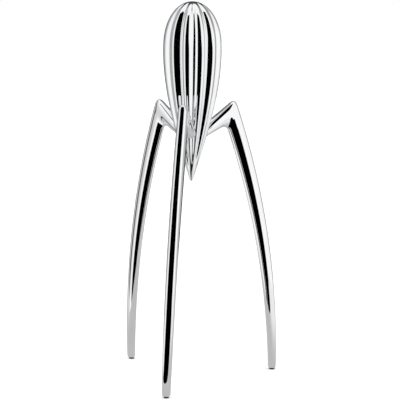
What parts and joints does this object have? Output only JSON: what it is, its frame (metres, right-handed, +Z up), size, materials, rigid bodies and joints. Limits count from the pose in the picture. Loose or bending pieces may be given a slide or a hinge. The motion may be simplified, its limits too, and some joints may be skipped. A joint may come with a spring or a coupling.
{
  "type": "citrus press juicer",
  "caption": "Free-standing citrus press: a fluted teardrop reamer head with a pointed drip tip, held over a glass by tall arched legs with small plastic foot pads.",
  "frame": {"origin": "on the axis of the head, on the surface that the feet stand on", "axes": "+Z up along the head's axis; -Y towards the front leg's arm; +X to the right seen from the front"},
  "size_m": [0.1239, 0.1111, 0.29],
  "materials": {
    "cast_head": "mirror-polished casting",
    "cast_leg": "mirror-polished casting",
    "pin": "plain ground steel",
    "foot_pad": "moulded black plastic"
  },
  "bodies": {
    "root": {"head": "cast_head", "leg_front": "cast_leg", "leg_right": "cast_leg", "leg_left": "cast_leg", "pin_front": "pin", "pin_right": "pin", "pin_left": "pin", "foot_front": "foot_pad", "foot_right": "foot_pad", "foot_left": "foot_pad"}
  },
  "joints": []
}
